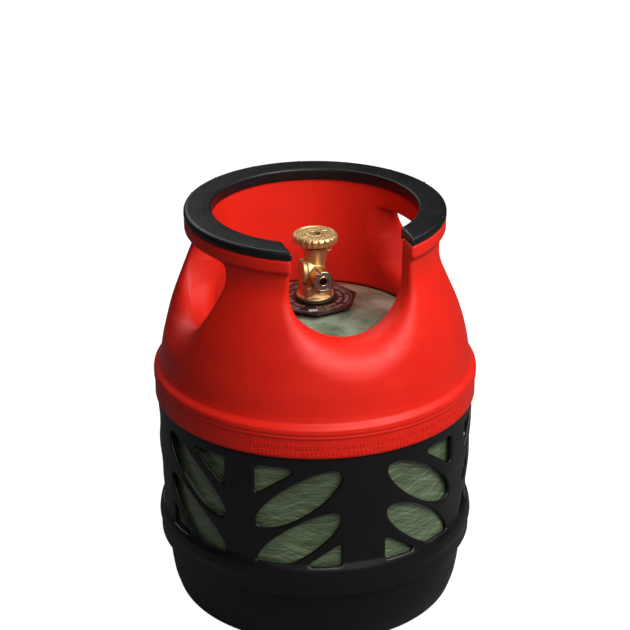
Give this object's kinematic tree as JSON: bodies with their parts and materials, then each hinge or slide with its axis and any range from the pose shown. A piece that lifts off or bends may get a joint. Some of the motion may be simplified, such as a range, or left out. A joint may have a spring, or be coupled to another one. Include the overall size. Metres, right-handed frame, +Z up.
{
  "type": "propane tank",
  "caption": "Composite propane tank: fibre-wrapped vessel in a two-part plastic casing with a carrying collar, a soft grip and a brass handwheel valve.",
  "frame": {"origin": "centre of the foot ring on the floor", "axes": "+Z up along the bottle's axis, -Y towards the front, where the collar is open and the valve outlet points"},
  "size_m": [0.307, 0.307, 0.395],
  "materials": {
    "red_plastic": "satin",
    "black_plastic": "satin",
    "soft_grip": "soft satin",
    "fibre_wrap": "gloss resin over glass fibre",
    "liner_plastic": "natural",
    "boss_metal": "machined",
    "valve_brass": "forged and machined",
    "spring_steel": "plain",
    "seal_rubber": "matt",
    "seal_plastic": "matt",
    "label_white": "satin"
  },
  "bodies": {
    "bottle": {"composite_shell": "fibre_wrap", "liner": "liner_plastic", "neck_boss": "boss_metal", "boss_o_ring": "seal_rubber", "upper_casing": "red_plastic", "grip_ring": "soft_grip", "lower_basket": "black_plastic", "base_casing": "black_plastic", "dome_plate": "black_plastic", "plate_label": "label_white", "valve_washer": "seal_rubber", "valve_body": "valve_brass", "outlet_seal": "seal_plastic", "gland_nut": "valve_brass", "lower_spindle_o_ring": "seal_rubber", "upper_spindle_o_ring": "seal_rubber", "relief_spring": "spring_steel", "relief_cap": "valve_brass"},
    "handwheel": {"handwheel": "valve_brass", "handwheel_nut": "spring_steel", "spindle": "valve_brass"},
    "seat": {"seat_carrier": "valve_brass", "seat_disc": "seal_plastic"},
    "relief": {"relief_poppet": "valve_brass", "relief_seal": "seal_rubber"}
  },
  "joints": [
    {"name": "handwheel_turn", "type": "hinge", "parent": "bottle", "child": "handwheel", "pos_m": [0, 0, 0.362], "axis": [0, 0, 1], "range_deg": [0, 540]},
    {"name": "seat_lift", "type": "slide", "parent": "bottle", "child": "seat", "axis": [0, 0, 1], "range_m": [0, 0.0023]},
    {"name": "relief_lift", "type": "slide", "parent": "bottle", "child": "relief", "axis": [-1, 0, 0], "range_m": [0, 0.0012], "stiffness_N_per_m": 8000, "springref_m": -0.004, "deforming": ["relief_spring"]}
  ],
  "couplings": [
    {"joint": "seat_lift", "follows": "handwheel_turn", "m_per_rad": 0.0002387}
  ]
}
